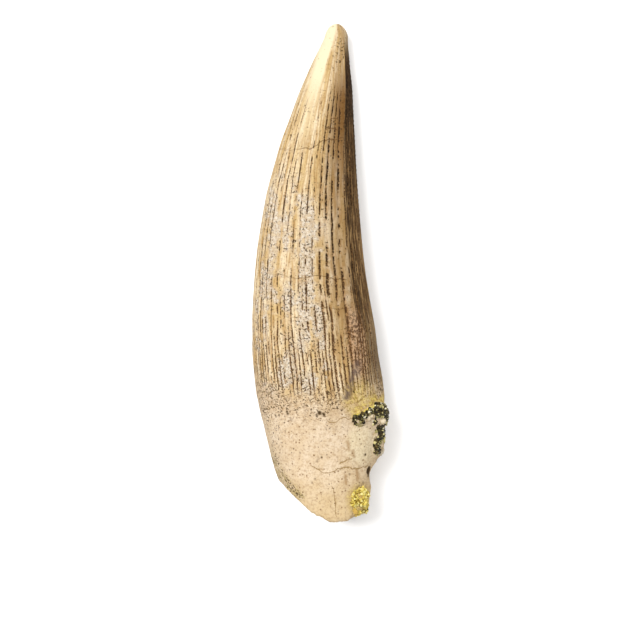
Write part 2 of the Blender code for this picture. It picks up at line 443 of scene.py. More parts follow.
BIG_PITS = ((-0.3, 20.9, 0.62, 1.0), (0.5, 20.6, 0.5, 0.9), (-0.8, 20.3, 0.4, 0.8), (8.4, 12.9, 0.4, 0.9),
            (9.1, 9.8, 1.0, 1.7), (9.1, 9.0, 0.7, 1.6))
for x, y, radius, depth in BIG_PITS:
    pits = np.maximum(pits, prick(x, y, radius, depth))
for _ in range(52):
    x = pit_random.uniform(-11.5, 11)
    y = pit_random.triangular(3, 18, 25)
    if pit_random.random() < 0.2 + 0.65 * (x < 1):
        pits = np.maximum(pits, prick(x, y, pit_random.uniform(0.32, 0.46), pit_random.uniform(0.4, 0.8)))
print("points inside pits:", int((pits > 0.1).sum()))

# %% [markdown]
# ## Pepper
#
# Fine dark specks gather in the worn patches, along the end of the enamel, down the left edge of the
# root, and on the rough spots. Only their density is kept here. The material turns it into specks.

# %% Set the density of the pepper
end_zone = np.exp(-(((along - enamel_end - 1) / 3.2) ** 2))
left_edge = rise(-across, 4, 9.5) * rise(along, 4, 9) * (1 - crown)
pepper = 0.30 * crown * (1 - polish_and_highlight) + 0.36 * worn + 0.65 * end_zone + 0.6 * left_edge
pepper += 0.22 * crown * rise(48 - along, 0, 12)
pepper = np.clip(pepper + rough_spot + tip_spot, 0, 1) * (0.75 + 0.5 * rough_noise(place, 2.0, 46))

# %% [markdown]
# ## Giving the skin its relief
#
# Now every drawn mark moves the skin in or out along its ray. The depths are tenths of a millimetre, a
# guess that suits a tooth of this size. Light from the side makes even those visible. The broken end gets
# rougher and deeper noise.

# %% Move the skin
keel_ridge = np.exp(-np.abs(keel_gap) / 0.055)[None, :] * rise(along, 30, 40) * rise(94 - along, 0, 8)
rib = 0.5 + 0.5 * np.cos((np.arange(COLUMNS) - KEEL_COLUMN) * 2 * math.pi / FLUTE_COLUMNS + math.pi)
SAW_TOOTH = 0.72  # length of one tooth of the fine saw-edge, in millimetres
saw_gap = (turns + 0.05 + math.pi) % (2 * math.pi) - math.pi
saw = np.sin(along * 2 * math.pi / SAW_TOOTH) * np.exp(-(saw_gap / 0.3) ** 2)
facing_back = np.zeros_like(across)
for k in np.flatnonzero(root_fan > 0):
    for j in range(COLUMNS):
        facing_back[k, j] = -wall.find_nearest(Vector(points[k, j]))[1].y
# The wall of the lower crust's hollow faces back too, but it isn't part of the break.
crust_hollow = rise(oval(7.2, 6.6, 3.0, 3.2), 0, 0.25)
broken = averaged(rise(facing_back, 0.45, 0.7) * (1 - crust_hollow), 1, 2)
pulp_x, pulp_z = middle_line[0](ROOT_HEART) + 2.4 * MM, middle_line[1](ROOT_HEART)
pulp_far = np.hypot(place[..., 0] - pulp_x / MM, place[..., 2] - pulp_z / MM)
pulp_edge = 2.1 + 1.2 * rough_noise(place, 2.4, 57) + 0.5 * soft_noise(place, 0.6, 58)
pulp = broken * rise(pulp_edge - pulp_far, 0, 0.5)
relief = enamel * 0.12
relief += crown * rise(88 - along, 0, 20) * (0.05 * rib[None, :] - 0.10 * groove)
relief -= 0.08 * stain
relief += keel_ridge * 0.30
relief += 0.05 * saw * rise(along, 48, 60) * rise(93 - along, 0, 8)
relief -= worn * (0.07 + 0.05 * soft_noise(place, 0.6, 51))
relief += 0.10 * soft_noise(place, 5.0, 52) + 0.03 * soft_noise(place, 1.2, 53) * (1 - 0.6 * crown)
relief -= 0.35 * pits
relief += (rough_spot + 0.5 * tip_spot) * 0.16 * rough_noise(place, 0.7, 56)
relief += broken * (0.42 * rough_noise(place, 2.8, 54) + 0.24 * rough_noise(place, 0.8, 55))
relief -= 0.3 * broken + 0.45 * pulp
relief += 0.30 * np.sin(tip_fan[:, None]) ** 4
points = starts + ways * (reach + relief * MM)[..., None]
points[..., 2] = np.maximum(points[..., 2], low.z)
print("relief from", round(float(relief.min()), 2), "to", round(float(relief.max()), 2), "mm")

# %% [markdown]
# ## Handing the skin to Blender
#
# The points go into the sphere's mesh in one call each, which is far quicker than a loop. Every drawn
# mark goes with them as an attribute: a number kept at each point, which a material can read by its name.
# Painting with vertex colours by hand would do the same, but numbers keep the marks and the relief
# exactly in step.

# %% Write the points into the mesh
def spread(grid):
    """One value per mesh point from a grid. The poles take the mean of the row beside them."""
    flat = grid[np.clip(row_of - 1, 0, len(rows) - 1), column_of]
    flat[row_of == 0] = grid[0].mean(0)
    flat[row_of == ROWS] = grid[-1].mean(0)
    return flat


tooth.data.vertices.foreach_set("co", spread(points).astype(np.float32).ravel())
tooth.data.update()
tooth.data.shade_smooth()


def keep_marks(name, grid):
    """Stores a grid on the mesh, where a material can read it by name."""
    attribute = tooth.data.attributes.new(name, "FLOAT", "POINT")
    attribute.data.foreach_set("value", spread(np.clip(grid, 0, 1)).astype(np.float32))


MARKS = {"enamel": enamel, "crown": crown, "worn": worn, "stain": stain, "flank": flank,
         "low_flank_shade": low_flank_shade, "yellow": yellow, "russet": russet, "sooty": sooty, "polish_and_highlight": polish_and_highlight,
         "pits": pits,
         "keel_shade": keel_shade, "tan_root": tan_root, "pepper": pepper, "bold": bold, "smudge": smudge,
         "end_zone": end_zone * shown, "broken": broken, "pulp": pulp,
         "keel_shadow": keel_shadow, "rough_spot": rough_spot,
         "pale_root": pale_root}
for name, grid in MARKS.items():
    keep_marks(name, grid)
along_skin = tooth.data.attributes.new("skin", "FLOAT_VECTOR", "POINT")
along_skin.data.foreach_set("vector", spread(skin).astype(np.float32).ravel())
print("marks kept:", ", ".join(MARKS))

# %% [markdown]
# ## Building materials by name
#
# A node material is a recipe. These small helpers let each recipe be written as nested steps, so that the
# cells that follow read like a list of paints. Colours are given as they should look when lit. So `tone`
# takes the colour that should be seen and divides out the brightness of the lights.

# %% Helpers for node recipes
LIGHT = 1.9  # how far the lights below brighten a level surface, set by trial


def tone(red, green, blue):
    """The paint that looks like this colour, 0 to 255, on a level surface under the lights."""
    linear = [((c / 255 + 0.055) / 1.055) ** 2.4 for c in (red, green, blue)]
    return (*(c / LIGHT for c in linear), 1)


def node(tree, kind, inputs=None, **settings):
    """A new node. Inputs are values, or outputs of other nodes to link."""
    made = tree.nodes.new("ShaderNode" + kind)
    for name, value in settings.items():
        setattr(made, name, value)
    for name, value in (inputs or {}).items():
        if isinstance(value, bpy.types.NodeSocket):
            tree.links.new(value, made.inputs[name])
        else:
            made.inputs[name].default_value = value
    return made


def mark(tree, name):
    return node(tree, "Attribute", attribute_name=name).outputs["Fac"]


def paint_over(tree, share, under, over):
    """The over tone laid on the under tone with a share of cover."""
    return node(tree, "Mix", {0: share, 6: under, 7: over}, data_type="RGBA").outputs[2]


def sums(tree, operation, first, second=0.0):
    return node(tree, "Math", {0: first, 1: second}, operation=operation, use_clamp=True).outputs[0]


def times(tree, *factors):
    total = factors[0]
    for factor in factors[1:]:
        total = sums(tree, "MULTIPLY", total, factor)
    return total


def ease_between(tree, value, start, full, at_start=0.0, at_full=1.0):
    """Goes smoothly from one value to another while the input goes from start to full."""
    inputs = {"Value": value, "From Min": start, "From Max": full, "To Min": at_start, "To Max": at_full}
    return node(tree, "MapRange", inputs, interpolation_type="SMOOTHSTEP").outputs[0]


def noise_of(tree, vector, scale, detail=2.0, stretch=(1, 1, 1)):
    mapped = node(tree, "Mapping", {"Vector": vector, "Scale": stretch}).outputs[0]
    made = node(tree, "TexNoise", {"Vector": mapped, "Scale": scale, "Detail": detail, "Roughness": 0.6})
    return made.outputs["Fac"]


def new_material(name):
    material = bpy.data.materials.new(name)
    material.use_nodes = True
    tree = material.node_tree
    return material, tree, tree.nodes["Principled BSDF"]


# %% [markdown]
# ## The crown's paint
#
# The enamel is cream and honey in long soft bands, browner towards the keel, partly its own brown and
# partly painted shade where the crown slopes away from the light. Over it come a painted highlight, pale
# cream on the polished face near the tip, the grit of the worn patches, the dark flank, the stains, and
# at last the lines in the flutes. Each layer is a share of cover, so a later layer can hide an earlier
# one, as real stains do.

# %% Mix the enamel
tooth_material, tree, shader = new_material("fossil_enamel_and_root")
skin_way = node(tree, "Attribute", attribute_name="skin").outputs["Vector"]
solid_way = node(tree, "TexCoord").outputs["Object"]

bands = ease_between(tree, noise_of(tree, skin_way, 0.5, 3.0), 0.38, 0.62)
fibres = ease_between(tree, noise_of(tree, skin_way, 2.2, 2.0, (1, 1, 0.7)), 0.42, 0.62)
enamel_tone = paint_over(tree, bands, tone(220, 188, 132), tone(246, 224, 186))
enamel_tone = paint_over(tree, times(tree, fibres, 0.6), enamel_tone, tone(184, 142, 84))
# partly painted shade: browner towards the keel, where the crown slopes away from the light
enamel_tone = paint_over(tree, mark(tree, "keel_shade"), enamel_tone, tone(122, 86, 46))
# painted highlight: pale cream on the polished face near the tip
enamel_tone = paint_over(tree, mark(tree, "polish_and_highlight"), enamel_tone, tone(252, 234, 196))

# %% [markdown]
# ## The flank's paint
#
# Beyond the keel the enamel is dark brown, partly stained and partly painted shade of the side turned from
# the light. It is darkest near the tip, with pale streaks where the stain missed, and painted shadow falls
# in streaks beside the keel. A stretched noise gives streaks that run with the flutes, because its
# directions follow the skin and not the table. The red-brown patch low on the keel is grainy, so it gets
# a finer noise.

# %% Add the flank with its painted shade, and the stains
flank_noise = noise_of(tree, skin_way, 4.2, 4.0, (1, 1, 0.35))
height_on_crown = node(tree, "SeparateXYZ", {0: skin_way}).outputs[2]
high_share = ease_between(tree, height_on_crown, 9, 14)
# The flank's brown, darkest high up towards the tip, is partly stain and partly painted shade.
flank_deep = paint_over(tree, high_share, tone(102, 76, 48), tone(26, 15, 8))
flank_light = paint_over(tree, high_share, tone(206, 166, 112), tone(112, 82, 54))
flank_tone = paint_over(tree, ease_between(tree, flank_noise, 0.49, 0.64), flank_deep, flank_light)
enamel_tone = paint_over(tree, mark(tree, "flank"), enamel_tone, flank_tone)
# painted shadow in streaks beside the keel
streak_share = ease_between(tree, flank_noise, 0.66, 0.46, 0.2, 0.75)
shadow_streaks = times(tree, mark(tree, "keel_shadow"), streak_share)
enamel_tone = paint_over(tree, shadow_streaks, enamel_tone, tone(40, 27, 17))
# painted shade on the low right side, below the keel's end
enamel_tone = paint_over(tree, times(tree, mark(tree, "low_flank_shade"), 0.9), enamel_tone, tone(104, 80, 50))
russet_grain = ease_between(tree, noise_of(tree, solid_way, 1900, 2.0), 0.42, 0.58)
russet_tone = paint_over(tree, russet_grain, tone(86, 52, 36), tone(204, 164, 126))
enamel_tone = paint_over(tree, times(tree, mark(tree, "russet"), 0.8), enamel_tone, russet_tone)

# %% [markdown]
# ## The worn patches' paint
#
# Where the enamel has worn, pale grit sits in a pinkish layer, and each clump has a thin darker edge. The
# clumps come from one noise with two thresholds: above the higher one is grit, and just below it is the
# edge.

# %% Add the chalky grit of the worn patches
clumps = noise_of(tree, solid_way, 1250, 3.0)
lumps = noise_of(tree, solid_way, 620, 1.0)
worn_edge = sums(tree, "ADD", times(tree, clumps, 0.65), times(tree, lumps, 0.28))
worn_edge = sums(tree, "ADD", worn_edge, times(tree, mark(tree, "worn"), 0.28))
chalk_cover = ease_between(tree, mark(tree, "worn"), 0.02, 0.5)
chalk = times(tree, ease_between(tree, worn_edge, 0.66, 0.77), chalk_cover)
rim_cover = ease_between(tree, mark(tree, "worn"), 0.1, 0.4)
rim = times(tree, ease_between(tree, worn_edge, 0.62, 0.67), rim_cover)
grit = ease_between(tree, noise_of(tree, solid_way, 3000, 1.0), 0.40, 0.58)
chalk_tone = paint_over(tree, grit, tone(222, 204, 178), tone(252, 242, 226))
enamel_tone = paint_over(tree, times(tree, mark(tree, "worn"), 0.75), enamel_tone, tone(240, 221, 190))
enamel_tone = paint_over(tree, times(tree, rim, 0.34), enamel_tone, tone(142, 112, 78))
enamel_tone = paint_over(tree, times(tree, chalk, 0.62), enamel_tone, chalk_tone)

# %% [markdown]
# ## The lines' paint
#
# The lines were drawn on the skin's points already. Here two noises fray them: a stretched one breaks
# them into dashes, and a fine one eats at their edges. A soft brown halo lies under each line, where
# mineral has crept sideways. Lines high on the crown, above all beside the keel, are almost black, and the
# low ones are brown.

# %% Draw the dark lines of the flutes
dash_break = noise_of(tree, skin_way, 1.9, 2.0, (1, 1, 2.4))
dash_break = ease_between(tree, dash_break, 0.34, 0.48, 0.25, 1.0)
frayed = ease_between(tree, noise_of(tree, solid_way, 3000, 1.5), 0.36, 0.56, 0.35, 1.0)
dashes = times(tree, mark(tree, "stain"), dash_break, frayed)
halo = ease_between(tree, mark(tree, "stain"), 0.05, 0.6, 0.0, 0.45)
enamel_tone = paint_over(tree, halo, enamel_tone, tone(172, 122, 68))
line_tone = paint_over(tree, mark(tree, "bold"), tone(86, 58, 34), tone(26, 17, 10))
enamel_tone = paint_over(tree, ease_between(tree, dashes, 0.15, 0.42, 0.0, 0.97), enamel_tone, line_tone)

# %% [markdown]
# ## The root's paint
#
# Bare root is a clean pinkish cream, a little yellower towards the break. Pin-prick dots come from small
# cells of which only one in five is used. Pepper is finer and darker, and gathers where the enamel ends,
# in the worn patches and on rough spots.

# %% Mix the root
cloud = ease_between(tree, noise_of(tree, solid_way, 300, 3.0), 0.36, 0.64)
root_tone = paint_over(tree, cloud, tone(232, 206, 170), tone(244, 222, 192))
root_tone = paint_over(tree, times(tree, mark(tree, "tan_root"), 0.6), root_tone, tone(228, 196, 138))
root_tone = paint_over(tree, times(tree, mark(tree, "pale_root"), 0.6), root_tone, tone(250, 234, 196))
end_clouds = ease_between(tree, noise_of(tree, solid_way, 700, 3.0), 0.35, 0.6)
end_share = times(tree, mark(tree, "end_zone"), end_clouds)
root_tone = paint_over(tree, times(tree, end_share, 0.4), root_tone, tone(186, 152, 106))
root_fleck = ease_between(tree, noise_of(tree, solid_way, 1600, 3.0), 0.52, 0.70, 0.0, 0.5)
root_tone = paint_over(tree, root_fleck, root_tone, tone(190, 156, 112))
root_tone = paint_over(tree, times(tree, mark(tree, "smudge"), 0.65), root_tone, tone(168, 128, 78))
dots = node(tree, "TexVoronoi", {"Vector": solid_way, "Scale": 1500})
dot_pick = node(tree, "SeparateColor", {"Color": dots.outputs["Color"]}).outputs[0]
dot_core = ease_between(tree, dots.outputs["Distance"], 0.34, 0.18)
dot_here = times(tree, dot_core, ease_between(tree, dot_pick, 0.80, 0.84))
root_tone = paint_over(tree, times(tree, dot_here, 0.75), root_tone, tone(138, 104, 68))
flattened = node(tree, "VectorMath", {0: solid_way, 1: (1, 0, 1)}, operation="MULTIPLY").outputs[0]
pulp_gap = node(tree, "VectorMath", {0: flattened, 1: (pulp_x, 0, pulp_z)}, operation="DISTANCE")
wobble = ease_between(tree, noise_of(tree, solid_way, 260, 4.0), 0.2, 0.8, 0.0, 0.004)
ring_place = node(tree, "Math", {0: pulp_gap.outputs["Value"], 1: wobble}, operation="ADD").outputs[0]
RING_GAP = 0.0022  # from one growth ring to the next
ring_turn = node(tree, "Math", {0: ring_place, 1: 2 * math.pi / RING_GAP}, operation="MULTIPLY").outputs[0]
ring_wave = node(tree, "Math", {0: ring_turn}, operation="SINE").outputs[0]
rings = ease_between(tree, ring_wave, -0.4, 1.0, 0.0, 0.4)
dentine = paint_over(tree, cloud, tone(214, 184, 140), tone(230, 204, 164))
dentine = paint_over(tree, rings, dentine, tone(184, 150, 104))
dentine = paint_over(tree, root_fleck, dentine, tone(150, 114, 76))
root_tone = paint_over(tree, times(tree, mark(tree, "broken"), 0.8), root_tone, dentine)
sediment = ease_between(tree, noise_of(tree, solid_way, 1300, 3.0), 0.42, 0.60)
sediment_tone = paint_over(tree, sediment, tone(112, 88, 62), tone(176, 150, 116))
root_tone = paint_over(tree, times(tree, mark(tree, "pulp"), 0.85), root_tone, sediment_tone)
fossil_tone = paint_over(tree, mark(tree, "crown"), root_tone, enamel_tone)

# %% [markdown]
# ## Specks, curls and stains over both
#
# Fine grain and pepper lie over crown and root alike. Short curls of dark line mark where the enamel
# frays out: they are the places where a noise passes through its middle value. Yellow and grey mineral
# dust comes last, then the dark floors of the pits.

# %% Scatter the specks and the dust
fine_grain = ease_between(tree, noise_of(tree, solid_way, 2300, 2.0), 0.46, 0.66, 0.0, 0.30)
# the fine grain fades out under the painted highlight on the tip
fine_grain = times(tree, fine_grain, ease_between(tree, mark(tree, "polish_and_highlight"), 0.0, 0.8, 1.0, 0.1))
fossil_tone = paint_over(tree, fine_grain, fossil_tone, tone(150, 116, 76))
rough_clouds = ease_between(tree, noise_of(tree, solid_way, 1400, 2.0), 0.4, 0.6)
rough_share = times(tree, mark(tree, "rough_spot"), rough_clouds)
fossil_tone = paint_over(tree, times(tree, rough_share, 0.7), fossil_tone, tone(178, 158, 96))
pepper_noise = noise_of(tree, solid_way, 2700, 1.0)
pepper_level = sums(tree, "MULTIPLY", mark(tree, "pepper"), 0.20)
pepper = ease_between(tree, sums(tree, "ADD", pepper_noise, pepper_level), 0.70, 0.76)
fossil_tone = paint_over(tree, times(tree, pepper, 0.85), fossil_tone, tone(74, 54, 36))
curls = noise_of(tree, solid_way, 520, 3.0, (1, 1.6, 1))
curl_off = node(tree, "Math", {0: curls, 1: 0.5}, operation="SUBTRACT").outputs[0]
curl_gap = node(tree, "Math", {0: curl_off}, operation="ABSOLUTE").outputs[0]
curl_line = times(tree, ease_between(tree, curl_gap, 0.022, 0.008), mark(tree, "end_zone"), 0.8)
fossil_tone = paint_over(tree, curl_line, fossil_tone, tone(112, 84, 54))
yellow_grain = ease_between(tree, noise_of(tree, solid_way, 2100, 2.0), 0.45, 0.60)
yellow_tone = paint_over(tree, yellow_grain, tone(194, 160, 80), tone(242, 214, 108))
fossil_tone = paint_over(tree, times(tree, mark(tree, "yellow"), 0.8), fossil_tone, yellow_tone)
fossil_tone = paint_over(tree, times(tree, mark(tree, "sooty"), 0.85), fossil_tone, tone(108, 90, 82))
pit_floor = ease_between(tree, mark(tree, "pits"), 0.06, 0.6)
fossil_tone = paint_over(tree, pit_floor, fossil_tone, tone(84, 66, 44))

# %% [markdown]
# ## Hairline cracks
#
# A few cracks cross the tooth. They are finer than the skin's mesh, so each is drawn by the material
# instead: a curve gives its height for every place across the tooth, and points near that height are
# dark. A little noise makes it ragged. The cracks are on the shown face only, because the curve sees just
# two directions.

# %% Draw the cracks
here = node(tree, "SeparateXYZ", {0: solid_way})
ragged_line = ease_between(tree, noise_of(tree, solid_way, 900, 3.0), 0.3, 0.7, -0.00018, 0.00018)
shown_side = ease_between(tree, here.outputs[2], 0.004, 0.006)


def crack(path, width, upright=False):
    """1 on a crack through places (across, along), in millimetres, and 0 at its width from it."""
    flat = [(y, x) if upright else (x, y) for x, y in path]
    spots = [(a * MM, b * MM) for a, b in flat]
    moved = [(a + root_end, b) if upright else (a, b + root_end) for a, b in spots]
    moved.sort()
    start, full = moved[0][0], moved[-1][0]
    bottom, top = min(b for a, b in moved) - MM, max(b for a, b in moved) + MM
    run, level = (here.outputs[1], here.outputs[0]) if upright else (here.outputs[0], here.outputs[1])
    share = node(tree, "MapRange", {"Value": run, "From Min": start, "From Max": full}).outputs[0]
    curve = node(tree, "FloatCurve", {"Value": share})
    points_on_curve = curve.mapping.curves[0].points
    for index, (a, b) in enumerate(moved):
        spot = ((a - start) / (full - start), (b - bottom) / (top - bottom))
        if 0 < index < len(moved) - 1:
            points_on_curve.new(*spot)
        else:
            points_on_curve[0 if index == 0 else len(points_on_curve) - 1].location = spot
    curve.mapping.update()
    drawn = node(tree, "MapRange", {"Value": curve.outputs[0], "To Min": bottom, "To Max": top}).outputs[0]
    off = node(tree, "Math", {0: level, 1: drawn}, operation="SUBTRACT").outputs[0]
    off = node(tree, "Math", {0: off, 1: ragged_line}, operation="ADD").outputs[0]
    gap = node(tree, "Math", {0: off}, operation="ABSOLUTE").outputs[0]
    near = ease_between(tree, gap, width * MM, width * MM * 0.3)
    ends = times(tree, ease_between(tree, share, 0.0, 0.06), ease_between(tree, share, 1.0, 0.94))
    return times(tree, near, ends, shown_side)


CROWN_CRACKS = (
    (((-8.6, 71.3), (-6.8, 70.9), (-3.9, 70.9), (-1.2, 71.3), (0.3, 72.4), (3.0, 72.8), (4.6, 73.0)), 0.17),
    (((-9.6, 46.0), (-7.7, 47.0), (-6.6, 46.6), (-3.9, 46.2), (-0.1, 46.8), (1.8, 46.2), (5.4, 45.9)),
     0.15),
    (((0.7, 74.4), (1.8, 74.9), (3.3, 74.6)), 0.14),
    (((1.6, 76.5), (2.4, 76.9), (3.3, 76.7)), 0.14),
    (((-0.4, 40.9), (2.0, 40.5), (6.2, 40.8)), 0.11),
)
ROOT_CRACKS = (
    (((-2.2, 10.9), (-1.1, 10.5), (1.2, 9.5), (2.8, 10.1), (5.1, 10.5), (6.6, 10.3), (9.4, 10.8)), 0.15),
    (((3.4, 11.2), (4.7, 11.9), (6.0, 12.2)), 0.15),
    (((0.9, 19.9), (1.8, 19.2), (2.8, 19.1), (4.1, 19.9), (5.6, 19.3)), 0.13),
)
in_crown = [crack(path, width) for path, width in CROWN_CRACKS]
in_root = [crack(path, width) for path, width in ROOT_CRACKS]
in_root.append(crack(((2.2, 7.2), (2.6, 4.0), (3.0, 0.9)), 0.12, upright=True))


def strongest(masks):
    total = masks[0]
    for mask in masks[1:]:
        total = sums(tree, "MAXIMUM", total, mask)
    return total


crown_cracks, root_cracks = strongest(in_crown), strongest(in_root)
left_faint = ease_between(tree, here.outputs[0], -0.008, 0.001, 0.3, 0.75)
fossil_tone = paint_over(tree, times(tree, crown_cracks, left_faint), fossil_tone, tone(104, 72, 42))
fossil_tone = paint_over(tree, times(tree, root_cracks, 0.75), fossil_tone, tone(148, 116, 60))
tree.links.new(fossil_tone, shader.inputs["Base Color"])
print("cracks drawn:", len(in_crown) + len(in_root))

# %% [markdown]
# ## Gloss
#
# Enamel has a satin gloss, brightest where the tip is polished. Root, worn patches and the flank beyond
# the keel, with its stain and painted shade, are matt. The finest grain is too small for the mesh, so it is
# left to bump. The shine is kept low and slightly brown, so that the stains and the painted shade keep
# their depth.

# %% Give the tooth its gloss and its finest grain
gloss = ease_between(tree, mark(tree, "polish_and_highlight"), 0.0, 1.0, 0.45, 0.28)
matt = sums(tree, "MAXIMUM", mark(tree, "worn"), sums(tree, "SUBTRACT", 1.0, mark(tree, "crown")))
matt = sums(tree, "MAXIMUM", matt, mark(tree, "flank"))
roughness = node(tree, "Mix", {0: matt, 2: gloss, 3: 0.8}).outputs[0]
tree.links.new(roughness, shader.inputs["Roughness"])
grain = noise_of(tree, solid_way, 3000, 2.0)
grain_height = times(tree, grain, ease_between(tree, matt, 0.0, 1.0, 0.35, 1.0))
raised = sums(tree, "ADD", times(tree, grain_height, 0.5), times(tree, chalk, 0.4))
cut = strongest([crown_cracks, root_cracks, pepper, times(tree, dot_here, 0.8)])
height = sums(tree, "SUBTRACT", sums(tree, "ADD", raised, 0.3), times(tree, cut, 0.3))
bump = node(tree, "Bump", {"Height": height, "Strength": 0.6, "Distance": 0.00018})
tree.links.new(bump.outputs[0], shader.inputs["Normal"])
shader.inputs["Specular IOR Level"].default_value = 0.04
shader.inputs["IOR"].default_value = 1.4
shader.inputs["Specular Tint"].default_value = (0.8, 0.62, 0.45, 1)
tooth.data.materials.append(tooth_material)

# %% [markdown]
# ## What the skin stands for
#
# The skin hides the solid tooth and moves with it. The solid stays, because the physics needs it.

# %% Say what the skin stands for
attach(tooth, "root")
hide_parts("tooth")

# %% [markdown]
# ## The beds of the crusts
#
# Mineral grew on the root's edge as a lumpy mass. A few overlapping balls give the mass. Remeshing melts
# them into one closed skin, and noise roughens it. Sculpting would give more control, but lumps like
# these have no shape worth controlling: what counts is that no two bumps are alike.


# %% Define the making of a bed
def clear_selection():
    for other in bpy.context.selected_objects:
        other.select_set(False)


def join_all(name, made):
    clear_selection()
    for obj in made:
        obj.select_set(True)
    bpy.context.view_layer.objects.active = made[0]
    bpy.ops.object.join()
    made[0].name = name
    return made[0]


def over_wall(x, y):
    """The height of the tooth or crust above a place, given in millimetres across and along."""
    hit = whole_wall.ray_cast(Vector((x * MM, root_end + y * MM, FAR)), Vector((0, 0, -1)))[0]
    return hit.z if hit else high.z * WAIST


def roughen(obj, grain, depth, seed):
    """Moves each point along its normal by noise, up to a depth in millimetres."""
    count = len(obj.data.vertices)
    spots, outward = np.empty(count * 3), np.empty(count * 3)
    obj.data.vertices.foreach_get("co", spots)
    obj.data.vertices.foreach_get("normal", outward)
    spots, outward = spots.reshape(-1, 3), outward.reshape(-1, 3)
    bumps = rough_noise(spots / MM, grain, seed) * depth * MM
    obj.data.vertices.foreach_set("co", (spots + outward * bumps[:, None]).ravel())
    obj.data.update()
    obj.data.shade_smooth()


def melted_lumps(name, lumps, voxel, rough, seed):
    """Balls given as (across, along, height below the surface, radius), melted into one and roughened."""
    made = []
    for x, y, depth, radius in lumps:
        place_of = (x * MM, root_end + y * MM, over_wall(x, y) - depth * MM)
        clear_selection()
        bpy.ops.mesh.primitive_ico_sphere_add(subdivisions=3, radius=radius * MM, location=place_of)
        made.append(bpy.context.object)
    bed = join_all(name, made)
    bpy.ops.object.transform_apply(location=True, rotation=True, scale=True)
    melt = bed.modifiers.new("melt", "REMESH")
    melt.mode = "VOXEL"
    melt.voxel_size = voxel * MM
    bpy.ops.object.modifier_apply(modifier="melt")
    roughen(bed, 0.9, rough, seed)
    roughen(bed, 0.35, rough * 0.5, seed + 5)
    print(name, "has", len(bed.data.polygons), "faces")
    return bed


# %% [markdown]
# ## Where the crust lies
#
# The upper crust is a band across the root's edge and a shorter arm down it, like a hook. The lower one
# is a round knob beside the break. Both follow the height of the solid below, which is felt with a ray
# for every ball.

# %% Make the two beds
UPPER_LUMPS = (
    (5.9, 19.5, 0.2, 0.5), (6.5, 20.0, 0.2, 0.6), (7.2, 20.1, 0.25, 0.65), (7.9, 20.4, 0.25, 0.65),
    (8.6, 20.8, 0.3, 0.7), (9.3, 21.3, 0.3, 0.8), (10.0, 21.6, 0.3, 0.9), (10.8, 21.8, 0.4, 0.9),
    (11.5, 21.7, 0.6, 0.9), (11.9, 20.9, 0.8, 0.9), (11.3, 20.7, 0.5, 0.9), (10.4, 20.6, 0.3, 0.8),
    (6.5, 18.9, 0.25, 0.5), (7.1, 18.5, 0.3, 0.5), (7.8, 19.2, 0.3, 0.5), (10.0, 19.1, 0.4, 0.65),
    (10.6, 18.2, 0.5, 0.85), (11.1, 18.2, 0.7, 0.9), (10.2, 17.0, 0.5, 0.9), (10.9, 16.6, 0.6, 1.0),
    (11.2, 17.4, 0.8, 0.9), (10.6, 15.5, 0.4, 0.9), (10.5, 14.4, 0.4, 0.8), (10.4, 13.4, 0.4, 0.65),
    (11.6, 19.6, 2.0, 1.2), (11.0, 15.9, 2.0, 1.2),
)
LOWER_LUMPS = (
    (6.1, 5.1, 0.7, 1.1), (7.4, 5.7, 0.8, 1.1), (8.2, 5.0, 1.1, 1.0), (6.0, 3.9, 0.8, 1.1),
    (7.6, 4.0, 0.9, 1.2), (8.2, 3.3, 1.3, 0.9), (6.1, 2.4, 0.8, 0.85), (6.9, 1.9, 1.0, 0.8),
    (8.0, 2.3, 1.2, 0.85),
)
upper_bed = melted_lumps("upper_crust_bed", UPPER_LUMPS, 0.13, 0.30, 71)
lower_bed = melted_lumps("lower_crust_bed", LOWER_LUMPS, 0.14, 0.35, 81)

# %% [markdown]
# ## The grains on the crusts
#
# What catches the eye is loose grain: black, olive, cream and sulphur yellow. One small rough ball is
# modelled once and its points are repeated in one mesh, each time turned, sized and toned by chance.
# Scattering with geometry nodes would do the same, but plain arrays keep the tone of each grain in reach.


# %% Define the sprinkling of grains
def sprinkle(name, bed, count, sizes, seed):
    """Grains over the outside of a bed, each with a random tone between 0 and 1."""
    clear_selection()
    bpy.ops.mesh.primitive_ico_sphere_add(subdivisions=2, radius=1)
    model = bpy.context.object
    ball = np.array([v.co[:] for v in model.data.vertices])
    faces = np.array([p.vertices[:] for p in model.data.polygons])
    bpy.data.objects.remove(model)
    chance = np.random.default_rng(seed)
    off_bed = 0.2 * MM
    open_spots = [
        v for v in bed.data.vertices if wall.ray_cast(v.co + v.normal * off_bed, v.normal)[0] is None
    ]
    corners, sides, tones = [], [], []
    for i, pick in enumerate(chance.choice(len(open_spots), count)):
        size = chance.uniform(*sizes) * MM
        squash = chance.uniform(0.6, 1.1, 3)
        turned = np.array(Matrix.Rotation(chance.uniform(0, 6.28), 3, Vector(chance.normal(size=3))))
        lumpy = ball * (1 + 0.22 * chance.uniform(-1, 1, (len(ball), 1)))
        corners.append((lumpy * squash * size) @ turned.T + np.array(open_spots[pick].co))
        sides.append(faces + i * len(ball))
        tones.append(np.full(len(ball), chance.random()))
    mesh = bpy.data.meshes.new(name)
    mesh.from_pydata(np.concatenate(corners), [], np.concatenate(sides))
    grains = bpy.data.objects.new(name, mesh)
    bpy.context.scene.collection.objects.link(grains)
    attribute = mesh.attributes.new("grain_tone", "FLOAT", "POINT")
    attribute.data.foreach_set("value", np.concatenate(tones).astype(np.float32))
    print(name, "has", count, "grains")
    return grains


# %% [markdown]
# ## Sprinkling
#
# The grains are about a fifth to two thirds of a millimetre across, and they overlap until little of the
# bed shows.

# %% Sprinkle them
upper_grains = sprinkle("upper_crust_grains", upper_bed, 560, (0.10, 0.32), 91)
lower_grains = sprinkle("lower_crust_grains", lower_bed, 260, (0.10, 0.30), 92)

# %% [markdown]
# ## Chips caught in the crust
#
# Between the dark grains sit six pale flakes. Each is a ball pressed flat, turned, and made a little
# uneven. The largest hangs at the edge, below the dark crust.

